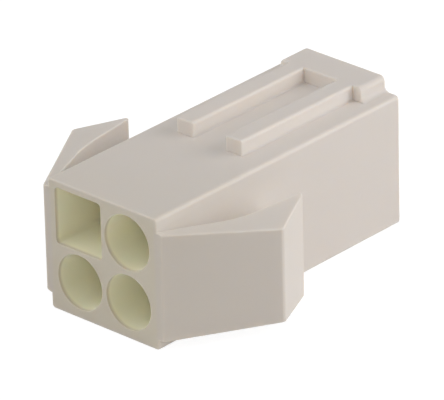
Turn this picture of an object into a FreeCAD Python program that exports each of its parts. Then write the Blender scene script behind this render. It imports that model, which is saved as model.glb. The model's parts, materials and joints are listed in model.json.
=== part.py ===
import FreeCAD, Part
import os
import Sketcher

# Wire to board connector housing: one injection moulding in natural nylon, millimetres.
# X runs across the mating face, Y from the mating face back to the wire side, Z up.
# All is drawn about the axis between the four cavities, from the mating face back. Then it
# is moved to put the origin in the middle of the underside.

# Name, value and meaning of every driving size.
SIZES = [
    ("pitch", 4.5, "between neighbouring cavities, across and up"),
    ("side_wall", 0.625, "outer wall left and right of the square socket"),
    ("top_wall", 0.5, "outer wall above the square socket"),
    ("bottom_wall", 0.65, "outer wall below the lower sockets, at the square socket's size"),
    ("body_length", 24.9, "mating face to wire side"),
    ("body_edge", 0.25, "round on the long edges of the body"),
    ("square_web", 0.25, "wall that a square socket would leave to the next one like it"),
    ("square_corner", 0.3, "inner corner of the square socket"),
    ("socket_web", 0.4, "thinnest wall between neighbouring round sockets"),
    ("socket_depth", 13.2, "mating face to the terminal shoulder"),
    ("socket_mouth", 0.12, "bevel round the mouth of each socket"),
    ("neck_length", 2.2, "terminal shoulder to the wire entry"),
    ("neck_step", 0.35, "wall of the wire entry to that of the neck, which the tangs pass"),
    ("entry_web", 0.8, "thinnest wall between neighbouring wire entries"),
    ("entry_funnel", 0.2, "bevel that leads a terminal into the neck"),
    ("entry_mouth", 0.25, "bevel round the mouth of each wire entry"),
    ("ear_level_inset", 0.625, "deck of the body to the level long side of an ear"),
    ("ear_shed_inset", 0.975, "deck to its sloping long side, beside the body"),
    ("ear_shed_slope", 0.31, "fall of the sloping side for each unit outward"),
    ("ear_shed_turn", 9.0, "degrees by which that slope is turned outward"),
    ("ear_step", 0.42, "how far an ear stands out at the mating face"),
    ("ear_reach", 4.75, "how far its peak stands out from the body"),
    ("ear_peak", 7.45, "mating face to the peak"),
    ("ear_tip_reach", 3.15, "how far the outer corner of its free end stands out"),
    ("ear_tip", 11.2, "mating face to the free end"),
    ("ear_land", 0.25, "blunt width of the free end"),
    ("ear_root", 0.3, "mating face to where the arm leaves the body"),
    ("ear_root_bend", 0.3, "radius at the closed end of the slot beside the arm"),
    ("ear_waist", 5.9, "mating face to the bend inside the arm"),
    ("ear_waist_reach", 2.3, "body to that bend"),
    ("ear_waist_bend", 4.0, "radius of that bend"),
    ("ear_peak_bend", 0.25, "radius on the upright edge of the peak"),
    ("ear_edge", 0.2, "round along the outer long edges of the arm"),
    ("rib_width", 1.5, "panel stop ribs over the two columns"),
    ("rib_height", 1.15, "height of ribs and flange over the body"),
    ("rib_front", 10.8, "mating face to the stop faces of the ribs"),
    ("rib_edge", 0.2, "round on the upper edges of ribs and flange"),
    ("flange_inset", 1.25, "side of the body to each end of the cross flange"),
    ("flange_length", 2.6, "length of that flange, which joins the ribs, along the body"),
    ("flange_end", 0.4, "round over the two ends of the flange"),
    ("flange_foot", 0.45, "fillet at the foot of those ends"),
]

# Sizes that follow from the driving ones.
DERIVED = [
    ("square_side", "=pitch - square_web"),
    ("socket_bore", "=pitch - socket_web"),
    ("entry_bore", "=pitch - entry_web"),
    ("neck_bore", "=entry_bore - 2 * neck_step"),
    ("entry_depth", "=body_length - socket_depth - neck_length"),
    ("body_width", "=pitch + square_side + 2 * side_wall"),
    ("deck", "=(pitch + square_side) / 2 + top_wall"),
    ("underside", "=(pitch + square_side) / 2 + bottom_wall"),
    ("flange_half", "=body_width / 2 - flange_inset"),
    ("ear_level", "=deck - ear_level_inset"),
    ("ear_eave", "=deck - ear_shed_inset"),
    ("ear_slope", "=(ear_reach - ear_step) / ear_peak"),
    ("ear_overhang", "=2 * ear_reach"),
]

# Smallest difference in position or volume that counts.
NEAR = 1e-4

# A sketch's own numbers for the points of a curve, and for its origin and axes.
START, END, CENTRE = 1, 2, 3
ORIGIN, X_AXIS, Y_AXIS = -1, -1, -2


def make_sheet(doc):
    """Driving and derived sizes, one row each: name, value, meaning."""
    sheet = doc.addObject("Spreadsheet::Sheet", "Sizes")
    rows = SIZES + [(name, formula, "derived") for name, formula in DERIVED]
    for row, (name, content, meaning) in enumerate(rows, start=1):
        sheet.set("A%d" % row, name)
        sheet.set("B%d" % row, str(content))
        sheet.set("C%d" % row, meaning)
        sheet.setAlias("B%d" % row, name)
    doc.recompute()


def size(owner, expression):
    """Value in millimetres of an expression."""
    result = owner.evalExpression(expression)
    return float(getattr(result, "Value", result))


def origin_feature(body, role):
    return next(item for item in body.Origin.OriginFeatures if item.Role == role)


def new_sketch(body, name, role, offset="0"):
    """Sketch on an origin plane, moved along the plane's normal by an expression."""
    sketch = body.newObject("Sketcher::SketchObject", name)
    sketch.AttachmentSupport = [(origin_feature(body, role), "")]
    sketch.MapMode = "FlatFace"
    sketch.setExpression("AttachmentOffset.Base.z", offset)
    return sketch


def drive(sketch, kind, name, expression, *geometry):
    """Named constraint whose value is an expression."""
    value = size(sketch, expression)
    index = sketch.addConstraint(Sketcher.Constraint(kind, *geometry, value))
    sketch.renameConstraint(index, name)
    sketch.setExpression("Constraints." + name, expression)


def pin_point(sketch, name, curve, point, x, y):
    """Ties a point of a line or circle to a place given by two expressions."""
    for kind, expression, axis in (("DistanceX", x, Y_AXIS), ("DistanceY", y, X_AXIS)):
        if expression == "0":
            sketch.addConstraint(Sketcher.Constraint("PointOnObject", curve, point, axis))
        else:
            drive(sketch, kind, name + kind[-1], expression, ORIGIN, START, curve, point)


def add_outline(sketch, corners):
    """Closed loop of lines through named corners (name, x, y)."""
    places = [FreeCAD.Vector(size(sketch, x), size(sketch, y), 0) for _, x, y in corners]
    lines = []
    for place, following in zip(places, places[1:] + places[:1]):
        lines.append(sketch.addGeometry(Part.LineSegment(place, following)))
    for line, following in zip(lines, lines[1:] + lines[:1]):
        sketch.addConstraint(Sketcher.Constraint("Coincident", line, END, following, START))
    for line, (name, x, y) in zip(lines, corners):
        pin_point(sketch, name, line, START, x, y)


def add_circle(sketch, name, x, y, diameter):
    """Circle with its centre and diameter driven by expressions."""
    centre = FreeCAD.Vector(size(sketch, x), size(sketch, y), 0)
    radius = size(sketch, diameter) / 2
    circle = sketch.addGeometry(Part.Circle(centre, FreeCAD.Vector(0, 0, 1), radius))
    pin_point(sketch, name, circle, CENTRE, x, y)
    drive(sketch, "Diameter", name + "Diameter", diameter, circle)


def add_solid(body, kind, name, sketch, length, reverse):
    """Pad or Pocket of a sketch; a length of None cuts through everything."""
    before = body.Shape.Volume if body.Tip else 0.0
    feature = body.newObject("PartDesign::" + kind, name)
    feature.Profile = sketch
    feature.Reversed = reverse
    if length is None:
        feature.Type = "ThroughAll"
    else:
        feature.setExpression("Length", length)
    body.Document.recompute()
    gained = feature.Shape.Volume - before
    if abs(gained) < NEAR or (gained > 0) != (kind == "Pad"):
        raise ValueError("%s changes the volume by %.4f" % (name, gained))
    return feature


def add_dressing(body, kind, name, amount, test):
    """Fillet or Chamfer on each edge of the shape so far that passes a test."""
    base = body.Tip
    edges = ["Edge%d" % number for number, edge in enumerate(base.Shape.Edges, 1) if test(edge)]
    if not edges:
        raise ValueError("no edges for " + name)
    feature = body.newObject("PartDesign::" + kind, name)
    feature.Base = (base, edges)
    feature.setExpression("Radius" if kind == "Fillet" else "Size", amount)
    body.Document.recompute()


def in_plane(edge, axis, value):
    """True where a whole edge lies at one value of an axis (0, 1 or 2)."""
    box = edge.BoundBox
    low, high = ((box.XMin, box.XMax), (box.YMin, box.YMax), (box.ZMin, box.ZMax))[axis]
    return abs(low - value) < NEAR and abs(high - value) < NEAR


def upright_at(edge, x, y):
    """True for an upright edge at a distance x either side of the middle."""
    place = edge.Vertexes[0].Point
    return in_plane(edge, 0, place.x) and in_plane(edge, 1, y) and abs(abs(place.x) - x) < NEAR


def lengthwise_at(edge, x, z):
    """True for an edge along the body at a distance x either side of the middle."""
    place = edge.Vertexes[0].Point
    return in_plane(edge, 0, place.x) and in_plane(edge, 2, z) and abs(abs(place.x) - x) < NEAR


def circles_at(edge, y, diameter):
    """True for a full circle of a diameter, facing along the body at y."""
    return in_plane(edge, 1, y) and edge.Closed and abs(edge.BoundBox.XLength - diameter) < NEAR


def cavities():
    """Name and centre (x, z) of each cavity, the keyed one first."""
    for row, up in (("Upper", ""), ("Lower", "-")):
        for column, across in (("Left", "-"), ("Right", "")):
            yield row + column, across + "Sizes.pitch / 2", up + "Sizes.pitch / 2"


def make_body(body):
    """Plain block, not yet open."""
    sketch = new_sketch(body, "BodyOutline", "XZ_Plane")
    add_outline(sketch, [
        ("lowerLeft", "-Sizes.body_width / 2", "-Sizes.underside"),
        ("lowerRight", "Sizes.body_width / 2", "-Sizes.underside"),
        ("upperRight", "Sizes.body_width / 2", "Sizes.deck"),
        ("upperLeft", "-Sizes.body_width / 2", "Sizes.deck"),
    ])
    add_solid(body, "Pad", "BodyBlock", sketch, "Sizes.body_length", True)


def make_ears(body):
    """Panel lock ears: springy arms rooted at the mating face, free at their wedge ends.

    The left ear is the right one turned half way round the axis: each has one level long
    side and one that slopes away outward.
    """
    side = "Sizes.body_width / 2"
    plan = new_sketch(body, "EarPlan", "XY_Plane", "-Sizes.ear_level")
    add_outline(plan, [
        ("front", side, "0"),
        ("step", side + " + Sizes.ear_step", "0"),
        ("peak", side + " + Sizes.ear_reach", "Sizes.ear_peak"),
        ("tip", side + " + Sizes.ear_tip_reach", "Sizes.ear_tip"),
        ("land", side + " + Sizes.ear_tip_reach - Sizes.ear_land", "Sizes.ear_tip"),
        ("waist", side + " + Sizes.ear_waist_reach", "Sizes.ear_waist"),
        ("root", side, "Sizes.ear_root"),
    ])
    height = "Sizes.ear_level + Sizes.ear_eave"
    ear = add_solid(body, "Pad", "RightEar", plan, height, False)
    shed = new_sketch(body, "EarShed", "XZ_Plane")
    upright = FreeCAD.Vector(0, 1, 0)
    any_turn = FreeCAD.Rotation(upright, 1)  # gives the axis; the size sets the angle
    shed.AttachmentOffset = FreeCAD.Placement(FreeCAD.Vector(), any_turn)
    shed.setExpression("AttachmentOffset.Rotation.Angle", "-Sizes.ear_shed_turn")
    far = side + " + Sizes.ear_overhang"
    add_outline(shed, [
        ("eave", side, "Sizes.ear_eave"),
        ("low", far, "Sizes.ear_eave - Sizes.ear_shed_slope * Sizes.ear_overhang"),
        ("high", far, "Sizes.ear_eave"),
    ])
    slope = add_solid(body, "Pocket", "RightEarShed", shed, None, False)
    turned = body.newObject("PartDesign::PolarPattern", "LeftEar")
    turned.Originals = [ear, slope]
    turned.Axis = (origin_feature(body, "Y_Axis"), [""])
    turned.Angle = 360
    turned.Occurrences = 2
    body.Tip = turned
    body.Document.recompute()


def round_ears(body):
    """Bends inside the arms, eased peaks and rounds along the outer long edges."""
    side = size(body, "Sizes.body_width / 2")
    root = size(body, "Sizes.ear_root")
    waist = size(body, "Sizes.ear_waist")
    waist_reach = size(body, "Sizes.ear_waist_reach")
    peak = size(body, "Sizes.ear_peak")
    reach = size(body, "Sizes.ear_reach")
    step = size(body, "Sizes.ear_step")
    slope = size(body, "Sizes.ear_slope")

    def along_ramp(edge):
        """Long edges of the ramp that first meets the panel; the peak bend moves their ends."""
        ends = [vertex.Point for vertex in edge.Vertexes]
        if abs(ends[0].y - ends[-1].y) < peak / 2:
            return False
        allowed = reach / 20
        return all(abs(abs(end.x) - side - step - slope * end.y) < allowed for end in ends)

    add_dressing(body, "Fillet", "EarRootBend", "Sizes.ear_root_bend",
                 lambda edge: upright_at(edge, side, root))
    add_dressing(body, "Fillet", "EarWaistBend", "Sizes.ear_waist_bend",
                 lambda edge: upright_at(edge, side + waist_reach, waist))
    add_dressing(body, "Fillet", "EarPeakBend", "Sizes.ear_peak_bend",
                 lambda edge: upright_at(edge, side + reach, peak))
    add_dressing(body, "Fillet", "EarEdge", "Sizes.ear_edge", along_ramp)


def make_stops(body):
    """Two ribs that stop against the panel, joined by a cross flange at the wire side."""
    inner = "(Sizes.pitch - Sizes.rib_width) / 2"
    outer = "(Sizes.pitch + Sizes.rib_width) / 2"
    flange_front = "Sizes.body_length - Sizes.flange_length"
    right_half = [
        ("InnerRoot", inner, flange_front),
        ("InnerFront", inner, "Sizes.rib_front"),
        ("OuterFront", outer, "Sizes.rib_front"),
        ("OuterRoot", outer, flange_front),
        ("FlangeFront", "Sizes.flange_half", flange_front),
        ("FlangeBack", "Sizes.flange_half", "Sizes.body_length"),
    ]
    corners = [("right" + name, x, y) for name, x, y in right_half]
    corners += [("left" + name, "-(%s)" % x, y) for name, x, y in reversed(right_half)]
    sketch = new_sketch(body, "StopPlan", "XY_Plane", "Sizes.deck")
    add_outline(sketch, corners)
    add_solid(body, "Pad", "StopRibs", sketch, "Sizes.rib_height", False)


def round_stops(body):
    """Rounded flange ends with a filleted foot, and eased upper edges elsewhere."""
    deck = size(body, "Sizes.deck")
    top = size(body, "Sizes.deck + Sizes.rib_height")
    flange_half = size(body, "Sizes.flange_half")
    add_dressing(body, "Fillet", "FlangeFoot", "Sizes.flange_foot",
                 lambda edge: lengthwise_at(edge, flange_half, deck))
    add_dressing(body, "Fillet", "FlangeEnd", "Sizes.flange_end",
                 lambda edge: lengthwise_at(edge, flange_half, top))
    rib_sides = [size(body, "(Sizes.pitch %s Sizes.rib_width) / 2" % sign) for sign in "-+"]
    add_dressing(body, "Fillet", "RibEdge", "Sizes.rib_edge",
                 lambda edge: any(lengthwise_at(edge, x, top) for x in rib_sides))


def make_sockets(body):
    """Mating sockets: the upper left one is square, so the mate fits only one way up."""
    sketch = new_sketch(body, "SocketFaces", "XZ_Plane")
    keyed, *plain = cavities()
    _, x, z = keyed
    left, right = ("%s %s Sizes.square_side / 2" % (x, sign) for sign in "-+")
    low, high = ("%s %s Sizes.square_side / 2" % (z, sign) for sign in "-+")
    add_outline(sketch, [
        ("lowerLeft", left, low),
        ("lowerRight", right, low),
        ("upperRight", right, high),
        ("upperLeft", left, high),
    ])
    for name, x, z in plain:
        add_circle(sketch, name, x, z, "Sizes.socket_bore")
    add_solid(body, "Pocket", "Sockets", sketch, "Sizes.socket_depth", False)


def make_terminal_ways(body):
    """Neck through to the wire side and a wider wire entry behind it, for each cavity."""
    necks = new_sketch(body, "NeckFaces", "XZ_Plane")
    for name, x, z in cavities():
        add_circle(necks, name, x, z, "Sizes.neck_bore")
    add_solid(body, "Pocket", "Necks", necks, None, False)
    entries = new_sketch(body, "EntryFaces", "XZ_Plane", "-Sizes.body_length")
    for name, x, z in cavities():
        add_circle(entries, name, x, z, "Sizes.entry_bore")
    add_solid(body, "Pocket", "WireEntries", entries, "Sizes.entry_depth", True)


def bevel_cavities(body):
    """Corners of the square socket, and bevels at the mouths and in front of the necks."""
    length = size(body, "Sizes.body_length")
    neck_mouth = size(body, "Sizes.socket_depth + Sizes.neck_length")
    socket_depth = size(body, "Sizes.socket_depth")
    neck_bore = size(body, "Sizes.neck_bore")
    socket_bore = size(body, "Sizes.socket_bore")
    entry_bore = size(body, "Sizes.entry_bore")

    def square_corner(edge):
        """Edge along the keyed socket, from the mating face to its shoulder."""
        place = edge.Vertexes[0].Point
        straight = in_plane(edge, 0, place.x) and in_plane(edge, 2, place.z)
        return straight and abs(edge.BoundBox.YLength - socket_depth) < NEAR

    add_dressing(body, "Fillet", "SquareCorner", "Sizes.square_corner", square_corner)
    add_dressing(body, "Chamfer", "EntryFunnel", "Sizes.entry_funnel",
                 lambda edge: circles_at(edge, neck_mouth, neck_bore))
    add_dressing(body, "Chamfer", "EntryMouth", "Sizes.entry_mouth",
                 lambda edge: circles_at(edge, length, entry_bore))
    add_dressing(body, "Chamfer", "SocketMouth", "Sizes.socket_mouth",
                 lambda edge: circles_at(edge, 0, socket_bore))


def round_body(body):
    """Round on the four long edges of the body."""
    side = size(body, "Sizes.body_width / 2")
    levels = [size(body, "Sizes.deck"), size(body, "-Sizes.underside")]
    add_dressing(body, "Fillet", "BodyEdge", "Sizes.body_edge",
                 lambda edge: any(lengthwise_at(edge, side, z) for z in levels))


def make_housing(doc):
    body = doc.addObject("PartDesign::Body", "housing")
    body.Label = "housing"
    make_body(body)
    make_ears(body)
    make_stops(body)
    make_sockets(body)
    make_terminal_ways(body)
    round_ears(body)
    round_stops(body)
    bevel_cavities(body)
    round_body(body)
    body.setExpression("Placement.Base.y", "-Sizes.body_length / 2")
    body.setExpression("Placement.Base.z", "Sizes.underside")
    return body


def check(doc, pieces):
    """Stops if any object failed or a piece is not one valid solid."""
    for item in doc.Objects:
        if {"Invalid", "Error"} & set(item.State):
            raise ValueError("%s failed: %s" % (item.Label, item.State))
    for piece in pieces:
        shape = piece.Shape
        if shape.isNull() or not shape.isValid() or len(shape.Solids) != 1:
            raise ValueError(piece.Label + " is not one valid solid")


def main():
    doc = FreeCAD.newDocument("ConnectorHousing")
    make_sheet(doc)
    pieces = [make_housing(doc)]
    doc.recompute()
    check(doc, pieces)
    os.makedirs("parts", exist_ok=True)
    for piece in pieces:
        piece.Shape.exportStep(os.path.join("parts", piece.Label + ".step"))
        box = piece.Shape.BoundBox
        print("%s %.2f x %.2f x %.2f mm, %.1f mm3"
              % (piece.Label, box.XLength, box.YLength, box.ZLength, piece.Shape.Volume))


main()
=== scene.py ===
import json
from math import cos, pi, radians, sin

import bmesh
import bpy
from mathutils import Matrix, Vector


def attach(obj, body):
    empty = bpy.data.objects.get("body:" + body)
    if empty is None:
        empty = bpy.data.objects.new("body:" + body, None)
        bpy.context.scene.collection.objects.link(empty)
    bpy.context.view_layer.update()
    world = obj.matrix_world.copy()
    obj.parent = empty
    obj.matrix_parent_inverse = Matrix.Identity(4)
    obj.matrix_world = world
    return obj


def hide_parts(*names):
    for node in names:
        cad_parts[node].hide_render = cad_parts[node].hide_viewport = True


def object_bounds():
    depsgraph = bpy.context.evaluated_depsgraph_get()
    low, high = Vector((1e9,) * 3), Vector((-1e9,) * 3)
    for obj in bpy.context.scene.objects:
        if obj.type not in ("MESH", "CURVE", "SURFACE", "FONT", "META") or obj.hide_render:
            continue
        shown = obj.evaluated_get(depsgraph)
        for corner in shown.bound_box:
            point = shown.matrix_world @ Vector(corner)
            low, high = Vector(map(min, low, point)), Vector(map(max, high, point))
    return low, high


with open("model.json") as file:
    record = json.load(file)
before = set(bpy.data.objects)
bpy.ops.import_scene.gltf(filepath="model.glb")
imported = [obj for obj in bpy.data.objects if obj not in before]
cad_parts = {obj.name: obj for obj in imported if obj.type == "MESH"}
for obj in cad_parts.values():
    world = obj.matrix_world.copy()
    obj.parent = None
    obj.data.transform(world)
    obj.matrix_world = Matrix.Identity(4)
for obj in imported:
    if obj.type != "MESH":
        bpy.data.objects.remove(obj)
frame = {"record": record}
cad_low, cad_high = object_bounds()

# Wire to board connector housing, moulded in natural nylon, on a white studio floor.
# X runs across the mating face, Y from the mating face back to the wire side, Z up.
# The housing is modelled in millimetres, and its finished mesh is brought to metres.

MM = 0.001
mounts = {mount["name"]: mount for mount in frame["record"]["mounts"]}

# Places that the frame gives, in millimetres
FRONT = cad_low.y / MM
BACK = cad_high.y / MM
TOP = cad_high.z / MM
UPPER_LEFT = Vector(mounts["wire_entry_upper_left"]["pos_m"]) / MM
LOWER_RIGHT = Vector(mounts["wire_entry_lower_right"]["pos_m"]) / MM
AXIS = (UPPER_LEFT.z + LOWER_RIGHT.z) / 2
SOCKET_RADIUS = mounts["socket_upper_right"]["dims"]["r_mm"]
ENTRY_RADIUS = mounts["wire_entry_upper_left"]["dims"]["r_mm"]

# Body, in millimetres
SIDE = 5.0
DECK = 9.9
LONG_EDGE = 0.28
SQUARE_SIDE = 4.25
SQUARE_CORNER = 0.3
SOCKET_DEPTH = 13.2
NECK_RADIUS = 1.5
NECK_LENGTH = 2.2
NECK_FUNNEL = 0.2
ENTRY_MOUTH = 0.25

# Ears: reach is measured from the side of the body, depth from the mating face
EAR_LEVEL = 4.25
EAR_EAVE = 3.9
EAR_FALL = 0.31
EAR_TURN = radians(9)
EAR_STEP = 0.42
EAR_REACH = 4.75
EAR_PEAK = 7.45
EAR_TIP_REACH = 3.15
EAR_TIP = 11.2
EAR_LAND = 0.25
EAR_WAIST = 5.9
EAR_WAIST_REACH = 2.3
EAR_WAIST_BEND = 1.45
EAR_ROOT = 0.3
EAR_PEAK_BEND = 0.2

# Panel stops on the deck
RIB_HALF = 0.75
RIB_FRONT = 10.8
RIB_EDGE = 0.2
RIB_FOOT = 0.15
FLANGE_HALF = 3.75
FLANGE_LENGTH = 2.6
FLANGE_END = 0.4
FLANGE_FOOT = 0.45

# Softness that the mould leaves on every other corner
SOFT_EDGE = 0.12
SHARP_ANGLE = radians(30)

# How finely curves are divided
SOFT_STEPS = 4
ROUND_STEPS = 5
WAIST_STEPS = 10
TURN_STEPS = 72

# How far a piece sinks into its neighbour, and what counts as the same place, line or plane
SINK = 0.4
TOUCHING = 0.002
STRAIGHT = 0.999
COPLANAR = radians(0.5)

# Camera at the photograph's angle
VIEW_AZIMUTH = radians(42.796)
VIEW_ELEVATION = radians(26.594)
VIEW_ROLL = radians(-1.373)
VIEW_DISTANCE = 405 * MM
VIEW_AIM = Vector((0, -0.499, 5.183)) * MM
SENSOR = 36.0
LENS = 477.1

# Colours of the nylon: its own colour behind the sockets, painted shade along them and on the
# webs between the mouths, painted light within the cavities, and painted bounce light in
# sheltered corners, which get at most this share of that bounce light
SKIN = "#D6CEC7"
SHADE_PAINTED_NEAR_FRONT = "#CDC5BB"
SHADE_PAINTED_BETWEEN_MOUTHS = "#CEC6B6"
LIGHT_PAINTED_IN_CAVITIES = "#FFF8DC"
BOUNCE_LIGHT_PAINTED = "#FFF9F2"
SHELTER = 0.65

# Reach of each colour, in millimetres: how far walls shelter a corner for its painted bounce
# light, the fades of the painted shade from the mating face back and from a mouth inwards, and
# the depths below the skin where the cavities' painted light starts and is full
SHELTER_REACH = 6.0
END_FADE = 14.0
MOUTH_FADE = 0.4
CAVITY_STARTS = 0.05
CAVITY_FULL = 0.35

# How far light spreads in the skin and in the cavities' walls, in millimetres
SCATTER = 0.5
CAVITY_SCATTER = 0.2

# Grain of the mould face: its strength, and its size and depth in millimetres
GRAIN = 0.03
GRAIN_SIZE = 0.35
GRAIN_DEPTH = 0.01

# Studio floor: half its width in metres, its gap below the part in millimetres, and its greys
FLOOR_HALF = 1.5
FLOOR_GAP = 0.02
FLOOR_SHADE = "#828282"
FLOOR_GLOW = "#F3F3F3"

# Light: each lamp has a name, its azimuth and elevation in degrees, its distance and width
# in metres, and its watts
WORLD_LIGHT = 0.18
LAMPS = [
    ("beside_camera", 42, 27, 0.5, 0.12, 0.25),
    ("right_back", 130, 20, 0.35, 0.4, 1.05),
    ("overhead", 0, 88, 0.35, 0.6, 0.25),
    ("left_front", -45, 35, 0.35, 0.6, 0.76),
]


def linear(hex_colour):
    """Linear RGBA of an sRGB hex colour."""
    channels = [int(hex_colour[i:i + 2], 16) / 255 for i in (1, 3, 5)]
    return (*[c / 12.92 if c <= 0.04045 else ((c + 0.055) / 1.055) ** 2.4 for c in channels], 1)


# Mesh helpers
def points_in(geometry):
    return [item for item in geometry if isinstance(item, bmesh.types.BMVert)]


def edges_in(geometry):
    return [item for item in geometry if isinstance(item, bmesh.types.BMEdge)]


def round_edges(shape, edges, size, steps):
    bmesh.ops.bevel(shape, geom=edges, offset=size, offset_type="OFFSET", segments=steps,
                    profile=0.5, affect="EDGES", clamp_overlap=True, material=-1)


def is_sharp(edge):
    return edge.calc_face_angle(0) > SHARP_ANGLE


def middle_of(edge):
    return (edge.verts[0].co + edge.verts[1].co) / 2


def soften(shape, above=-SINK):
    """Rounds every corner above a height that is still sharp, by the mould's own radius."""
    bmesh.ops.recalc_face_normals(shape, faces=shape.faces)
    corners = [edge for edge in shape.edges
               if is_sharp(edge) and middle_of(edge).z > above + TOUCHING]
    round_edges(shape, corners, SOFT_EDGE, SOFT_STEPS)


def edges_along(shape, axis, test):
    """Straight edges along an axis (0, 1 or 2) whose middle passes a test."""
    found = []
    for edge in shape.edges:
        run = edge.verts[1].co - edge.verts[0].co
        if abs(run[axis]) > STRAIGHT * run.length and test(middle_of(edge)):
            found.append(edge)
    return found


def prism(shape, outline, low, high):
    """Upright prism over a plan outline."""
    base = shape.faces.new([shape.verts.new((x, y, low)) for x, y in outline])
    grown = bmesh.ops.extrude_face_region(shape, geom=[base])
    bmesh.ops.translate(shape, verts=points_in(grown["geom"]), vec=(0, 0, high - low))


def block(shape, low, high):
    """Box between two corners."""
    low, high = Vector(low), Vector(high)
    made = bmesh.ops.create_cube(shape, size=1)
    bmesh.ops.scale(shape, verts=made["verts"], vec=high - low)
    bmesh.ops.translate(shape, verts=made["verts"], vec=(low + high) / 2)


def turned(shape, profile, centre):
    """Solid of revolution about a line along Y: profile holds (y, radius), from end to end."""
    line = [shape.verts.new((centre.x, y, centre.z + radius)) for y, radius in profile]
    edges = [shape.edges.new(pair) for pair in zip(line, line[1:])]
    bmesh.ops.spin(shape, geom=line + edges, cent=(centre.x, 0, centre.z), axis=(0, 1, 0),
                   angle=2 * pi, steps=TURN_STEPS, use_merge=True)
    bmesh.ops.remove_doubles(shape, verts=shape.verts, dist=TOUCHING)


def as_object(shape, name):
    """Closed shape as an object, with its faces turned outwards."""
    bmesh.ops.recalc_face_normals(shape, faces=shape.faces)
    mesh = bpy.data.meshes.new(name)
    shape.to_mesh(mesh)
    shape.free()
    made = bpy.data.objects.new(name, mesh)
    bpy.context.scene.collection.objects.link(made)
    return made


def combine(piece, tool, operation):
    """Joins a tool to a piece (UNION) or cuts it away (DIFFERENCE), and drops the tool."""
    step = piece.modifiers.new("combine", "BOOLEAN")
    step.operation = operation
    step.solver = "EXACT"
    step.object = tool
    ready = piece.evaluated_get(bpy.context.evaluated_depsgraph_get())
    piece.data = bpy.data.meshes.new_from_object(ready)
    piece.modifiers.clear()
    bpy.data.objects.remove(tool)


# Parts of the moulding
def make_body():
    """Plain block with rounded long edges."""
    shape = bmesh.new()
    block(shape, (-SIDE, FRONT, 0), (SIDE, BACK, DECK))
    round_edges(shape, edges_along(shape, 1, lambda middle: True), LONG_EDGE, ROUND_STEPS)
    soften(shape)
    return as_object(shape, "moulded_housing")


def make_ears():
    """Right ear from its plan, cut by its sloping side, and its copy turned half way round."""
    shape = bmesh.new()
    prism(shape, [
        (SIDE - SINK, FRONT),
        (SIDE + EAR_STEP, FRONT),
        (SIDE + EAR_REACH, FRONT + EAR_PEAK),
        (SIDE + EAR_TIP_REACH, FRONT + EAR_TIP),
        (SIDE + EAR_TIP_REACH - EAR_LAND, FRONT + EAR_TIP),
        (SIDE + EAR_WAIST_REACH, FRONT + EAR_WAIST),
        (SIDE, FRONT + EAR_ROOT),
        (SIDE - SINK, FRONT + EAR_ROOT),
    ], AXIS - EAR_LEVEL, AXIS + EAR_EAVE)
    outward = Vector((cos(EAR_TURN), -sin(EAR_TURN), 0))
    eave = outward * SIDE + Vector((0, FRONT, AXIS + EAR_EAVE))
    cut = bmesh.ops.bisect_plane(shape, geom=shape.verts[:] + shape.edges[:] + shape.faces[:],
                                 plane_co=eave, plane_no=outward * EAR_FALL + Vector((0, 0, 1)),
                                 clear_outer=True)
    bmesh.ops.edgeloop_fill(shape, edges=edges_in(cut["geom_cut"]))

    def upright_near(reach, depth):
        place = Vector((SIDE + reach, FRONT + depth))
        return edges_along(shape, 2, lambda middle: (middle.xy - place).length < TOUCHING)

    round_edges(shape, upright_near(EAR_WAIST_REACH, EAR_WAIST), EAR_WAIST_BEND, WAIST_STEPS)
    round_edges(shape, upright_near(EAR_REACH, EAR_PEAK), EAR_PEAK_BEND, ROUND_STEPS)
    soften(shape)
    everything = shape.verts[:] + shape.edges[:] + shape.faces[:]
    other = bmesh.ops.duplicate(shape, geom=everything)
    bmesh.ops.rotate(shape, verts=points_in(other["geom"]), cent=(0, 0, AXIS),
                     matrix=Matrix.Rotation(pi, 3, "Y"))
    return as_object(shape, "ears")


def arc(x, z, radius, start, end):
    """Points of an arc across the part, from one angle to another."""
    angles = [start + (end - start) * step / ROUND_STEPS for step in range(ROUND_STEPS + 1)]
    return [(x + radius * cos(angle), z + radius * sin(angle)) for angle in angles]


def deck_bar(shape, middle, half, foot, crown, front, back):
    """Bar along the deck, with a fillet at its feet and its upper edges rounded."""
    right = [(half + foot, DECK - SINK)]
    right += arc(half + foot, DECK + foot, foot, -pi / 2, -pi)
    right += arc(half - crown, TOP - crown, crown, 0, pi / 2)
    outline = right + [(-x, z) for x, z in reversed(right)]
    face = shape.faces.new([shape.verts.new((middle + x, front, z)) for x, z in outline])
    grown = bmesh.ops.extrude_face_region(shape, geom=[face])
    bmesh.ops.translate(shape, verts=points_in(grown["geom"]), vec=(0, back - front, 0))


def make_ribs():
    """Two ribs that stop against the panel, one over each column of cavities."""
    shape = bmesh.new()
    for column in (UPPER_LEFT.x, LOWER_RIGHT.x):
        deck_bar(shape, column, RIB_HALF, RIB_FOOT, RIB_EDGE,
                 FRONT + RIB_FRONT, BACK - FLANGE_LENGTH + SINK)
    soften(shape, DECK)
    return as_object(shape, "ribs")


def make_flange():
    """Cross flange behind the ribs."""
    shape = bmesh.new()
    deck_bar(shape, 0, FLANGE_HALF, FLANGE_FOOT, FLANGE_END, BACK - FLANGE_LENGTH, BACK)
    soften(shape, DECK)
    return as_object(shape, "flange")


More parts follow.
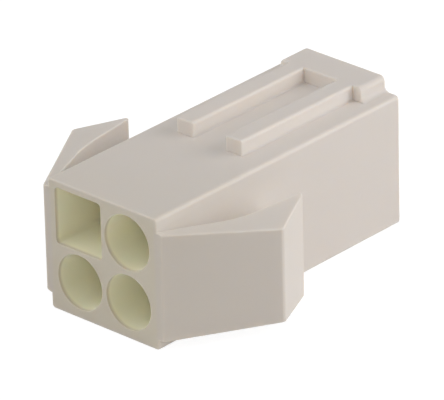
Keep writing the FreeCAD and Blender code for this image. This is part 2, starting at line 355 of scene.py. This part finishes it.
def make_cavity(corner):
    """What is taken out behind a corner's opening: socket, neck and wire entry."""
    centre = Vector(mounts["wire_entry_" + corner]["pos_m"]) / MM
    shoulder = FRONT + SOCKET_DEPTH
    entry = shoulder + NECK_LENGTH
    shape = bmesh.new()
    wire_side = [
        (entry - NECK_FUNNEL, NECK_RADIUS),
        (entry, NECK_RADIUS + NECK_FUNNEL),
        (entry, ENTRY_RADIUS),
        (BACK - ENTRY_MOUTH, ENTRY_RADIUS),
        (BACK + SINK, ENTRY_RADIUS + ENTRY_MOUTH + SINK),
        (BACK + SINK, 0),
    ]
    if corner == "upper_left":
        turned(shape, [(shoulder - SINK, 0), (shoulder - SINK, NECK_RADIUS)] + wire_side, centre)
    else:
        turned(shape, [(FRONT - SINK, 0), (FRONT - SINK, SOCKET_RADIUS),
                       (shoulder, SOCKET_RADIUS), (shoulder, NECK_RADIUS)] + wire_side, centre)
    return as_object(shape, "cavity")


def make_keyed_socket():
    """Square socket of the upper left cavity."""
    half = SQUARE_SIDE / 2
    shape = bmesh.new()
    block(shape, (UPPER_LEFT.x - half, FRONT - SINK, UPPER_LEFT.z - half),
          (UPPER_LEFT.x + half, FRONT + SOCKET_DEPTH, UPPER_LEFT.z + half))
    round_edges(shape, edges_along(shape, 1, lambda middle: True), SQUARE_CORNER, ROUND_STEPS)
    return as_object(shape, "keyed_socket")


def finish_mesh(piece):
    """Rounds the rims of the mouths, sets the shading and brings the mesh to metres."""
    shape = bmesh.new()
    shape.from_mesh(piece.data)
    bmesh.ops.dissolve_limit(shape, angle_limit=COPLANAR, verts=shape.verts, edges=shape.edges)
    rims = [edge for edge in shape.edges
            if is_sharp(edge) and all(point.co.y < FRONT + TOUCHING for point in edge.verts)]
    round_edges(shape, rims, SOFT_EDGE, SOFT_STEPS)
    bmesh.ops.remove_doubles(shape, verts=shape.verts, dist=TOUCHING)
    bmesh.ops.recalc_face_normals(shape, faces=shape.faces)
    for face in shape.faces:
        face.smooth = True
    for edge in shape.edges:
        edge.smooth = not is_sharp(edge)
    bmesh.ops.scale(shape, verts=shape.verts, vec=(MM, MM, MM))
    shape.to_mesh(piece.data)
    shape.free()
    level = piece.modifiers.new("level_faces", "WEIGHTED_NORMAL")
    level.weight = 100
    level.keep_sharp = True


def make_housing():
    housing = make_body()
    combine(housing, make_ears(), "UNION")
    combine(housing, make_flange(), "UNION")
    combine(housing, make_ribs(), "UNION")
    for corner in ("upper_left", "upper_right", "lower_left", "lower_right"):
        combine(housing, make_cavity(corner), "DIFFERENCE")
    combine(housing, make_keyed_socket(), "DIFFERENCE")
    finish_mesh(housing)
    return housing


# Materials
def add_node(tree, kind, settings=(), links=()):
    """Node with its settings {input or property: value} and links {input: output}."""
    node = tree.nodes.new(kind)
    for name, value in dict(settings).items():
        if isinstance(name, int) or name in node.inputs:
            node.inputs[name].default_value = value
        else:
            setattr(node, name, value)
    for name, output in dict(links).items():
        tree.links.new(output, node.inputs[name])
    return node


def empty_material(name):
    material = bpy.data.materials.new(name)
    material.use_nodes = True
    material.node_tree.nodes.clear()
    return material


def natural_nylon():
    """Natural polyamide, injection-moulded: milky, lets light through a thin wall, satin skin."""
    material = empty_material("natural_nylon_moulded")
    tree = material.node_tree
    place = add_node(tree, "ShaderNodeTexCoord").outputs["Object"]

    # How far a point lies within the sides, the ends and the deck of the body
    middle = Vector((0, (BACK + FRONT) / 2, DECK / 2)) * MM
    half = Vector((SIDE, (BACK - FRONT) / 2, DECK / 2)) * MM
    offset = add_node(tree, "ShaderNodeVectorMath",
                      {"operation": "SUBTRACT", 1: middle}, {0: place})
    reach = add_node(tree, "ShaderNodeVectorMath",
                     {"operation": "ABSOLUTE"}, {0: offset.outputs[0]})
    below = add_node(tree, "ShaderNodeVectorMath",
                     {"operation": "SUBTRACT", 0: half}, {1: reach.outputs[0]})
    within = add_node(tree, "ShaderNodeSeparateXYZ", links={0: below.outputs[0]})
    least = add_node(tree, "ShaderNodeMath", {"operation": "MINIMUM"},
                     {0: within.outputs["X"], 1: within.outputs["Z"]})
    in_cavity = add_node(tree, "ShaderNodeMapRange",
                         {"From Min": CAVITY_STARTS * MM, "From Max": CAVITY_FULL * MM},
                         {"Value": least.outputs[0]}).outputs["Result"]

    # Painted shade: along the sockets the skin is painted darker towards the mating face than
    # behind their shoulders, where the thin wall passes part of its light on
    along = add_node(tree, "ShaderNodeSeparateXYZ", links={0: place})
    painted_shade_fade = add_node(tree, "ShaderNodeMapRange",
                        {"From Min": FRONT * MM, "From Max": (FRONT + END_FADE) * MM},
                        {"Value": along.outputs["Y"]})
    skin = add_node(tree, "ShaderNodeMix",
                    {"data_type": "RGBA", 6: linear(SHADE_PAINTED_NEAR_FRONT), 7: linear(SKIN)},
                    {0: painted_shade_fade.outputs["Result"]})

    # Painted bounce light: corners between two walls are painted paler, for the light they pass to
    # each other
    air = add_node(tree, "ShaderNodeAmbientOcclusion",
                   {"Distance": SHELTER_REACH * MM, "only_local": True, "samples": 8})
    shelter = add_node(tree, "ShaderNodeMapRange", {"To Min": SHELTER, "To Max": 0.0},
                       {"Value": air.outputs["AO"]})
    outside = add_node(tree, "ShaderNodeMix", {"data_type": "RGBA", 7: linear(BOUNCE_LIGHT_PAINTED)},
                       {0: shelter.outputs["Result"], 6: skin.outputs[2]})

    # Painted shade on the webs between the mouths: darker and yellower than the skin. Painted
    # light
    # within the cavities: their walls are paler and yellower, for the light that comes through the
    # nylon
    past_mouth = add_node(tree, "ShaderNodeMapRange",
                          {"From Max": MOUTH_FADE * MM, "interpolation_type": "SMOOTHSTEP"},
                          {"Value": within.outputs["Y"]})
    inside = add_node(tree, "ShaderNodeMix",
                      {"data_type": "RGBA", 6: linear(SHADE_PAINTED_BETWEEN_MOUTHS), 7: linear(LIGHT_PAINTED_IN_CAVITIES)},
                      {0: past_mouth.outputs["Result"]})
    colour = add_node(tree, "ShaderNodeMix", {"data_type": "RGBA"},
                      {0: in_cavity, 6: outside.outputs[2], 7: inside.outputs[2]})
    scatter = add_node(tree, "ShaderNodeMapRange",
                       {"To Min": SCATTER * MM, "To Max": CAVITY_SCATTER * MM},
                       {"Value": in_cavity})

    # Fine texture of the mould face, which breaks the highlights up a little
    grain = add_node(tree, "ShaderNodeTexNoise",
                     {"Scale": 1 / (GRAIN_SIZE * MM), "Detail": 3.0, "Roughness": 0.6},
                     {"Vector": place})
    bump = add_node(tree, "ShaderNodeBump", {"Strength": GRAIN, "Distance": GRAIN_DEPTH * MM},
                    {"Height": grain.outputs["Fac"]})
    nylon = add_node(tree, "ShaderNodeBsdfPrincipled", {
        "Roughness": 0.6,
        "IOR": 1.53,
        "Subsurface Weight": 1.0,
        "Subsurface Radius": (1.0, 0.9, 0.75),
    }, {
        "Base Color": colour.outputs[2],
        "Subsurface Scale": scatter.outputs["Result"],
        "Normal": bump.outputs["Normal"],
    })
    add_node(tree, "ShaderNodeOutputMaterial", links={"Surface": nylon.outputs["BSDF"]})
    return material


def seen_directly(tree):
    """1 for rays from the camera and for those that a reflection or glass sends on."""
    path = add_node(tree, "ShaderNodeLightPath")
    mirrored = add_node(tree, "ShaderNodeMath", {"operation": "MAXIMUM"},
                        {0: path.outputs["Is Glossy Ray"], 1: path.outputs["Is Transmission Ray"]})
    seen = add_node(tree, "ShaderNodeMath", {"operation": "MAXIMUM"},
                    {0: path.outputs["Is Camera Ray"], 1: mirrored.outputs[0]})
    return seen.outputs[0]


def studio_white():
    """White paper: lights the part from below, and shows as white with the part's faint shadow."""
    material = empty_material("studio_white")
    tree = material.node_tree
    paper = add_node(tree, "ShaderNodeBsdfDiffuse", {"Color": linear("#FFFFFF")})
    shaded = add_node(tree, "ShaderNodeBsdfDiffuse", {"Color": linear(FLOOR_SHADE)})
    glow = add_node(tree, "ShaderNodeEmission", {"Color": linear(FLOOR_GLOW)})
    shown = add_node(tree, "ShaderNodeAddShader", links={0: shaded.outputs[0], 1: glow.outputs[0]})
    pick = add_node(tree, "ShaderNodeMixShader",
                    links={0: seen_directly(tree), 1: paper.outputs[0], 2: shown.outputs[0]})
    add_node(tree, "ShaderNodeOutputMaterial", links={"Surface": pick.outputs[0]})
    return material


# Studio
def make_floor():
    shape = bmesh.new()
    bmesh.ops.create_grid(shape, x_segments=1, y_segments=1, size=FLOOR_HALF)
    bmesh.ops.translate(shape, verts=shape.verts, vec=(0, 0, -FLOOR_GAP * MM))
    floor = as_object(shape, "studio_floor")
    floor.data.materials.append(studio_white())


def make_world():
    world = bpy.data.worlds.new("studio_air")
    bpy.context.scene.world = world
    world.use_nodes = True
    tree = world.node_tree
    tree.nodes.clear()
    strength = add_node(tree, "ShaderNodeMapRange", {"To Min": WORLD_LIGHT, "To Max": 1.0},
                        {"Value": seen_directly(tree)})
    background = add_node(tree, "ShaderNodeBackground", {"Color": linear("#FFFFFF")},
                          {"Strength": strength.outputs["Result"]})
    add_node(tree, "ShaderNodeOutputWorld", links={"Surface": background.outputs[0]})


def direction(azimuth, elevation):
    """Unit vector back to a viewer or lamp: azimuth 0 is in front of the mating face."""
    flat = cos(elevation)
    return Vector((sin(azimuth) * flat, -cos(azimuth) * flat, sin(elevation)))


def make_lamps():
    target = (cad_low + cad_high) / 2
    for name, azimuth, elevation, distance, width, power in LAMPS:
        lamp = bpy.data.lights.new(name, "AREA")
        lamp.shape = "DISK"
        lamp.size = width
        lamp.energy = power
        holder = bpy.data.objects.new(name, lamp)
        back = direction(radians(azimuth), radians(elevation))
        holder.location = target + back * distance
        holder.rotation_mode = "QUATERNION"
        holder.rotation_quaternion = back.to_track_quat("Z", "Y")
        bpy.context.scene.collection.objects.link(holder)


def make_camera():
    camera = bpy.data.cameras.new("camera")
    camera.sensor_width = SENSOR
    camera.lens = LENS
    camera.clip_start = VIEW_DISTANCE / 10
    camera.clip_end = VIEW_DISTANCE * 10
    holder = bpy.data.objects.new("camera", camera)
    back = direction(VIEW_AZIMUTH, VIEW_ELEVATION)
    right = Vector((0, 0, 1)).cross(back).normalized()
    up = back.cross(right)
    tilted_right = cos(VIEW_ROLL) * right + sin(VIEW_ROLL) * up
    tilted_up = cos(VIEW_ROLL) * up - sin(VIEW_ROLL) * right
    turn = Matrix((tilted_right, tilted_up, back)).transposed()
    holder.matrix_world = Matrix.LocRotScale(VIEW_AIM + back * VIEW_DISTANCE, turn, None)
    bpy.context.scene.collection.objects.link(holder)
    bpy.context.scene.camera = holder


def main():
    bpy.context.scene.view_settings.view_transform = "Standard"
    make_camera()
    make_world()
    make_lamps()
    make_floor()
    housing = make_housing()
    housing.data.materials.clear()
    housing.data.materials.append(natural_nylon())
    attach(housing, "root")
    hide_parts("housing")


main()
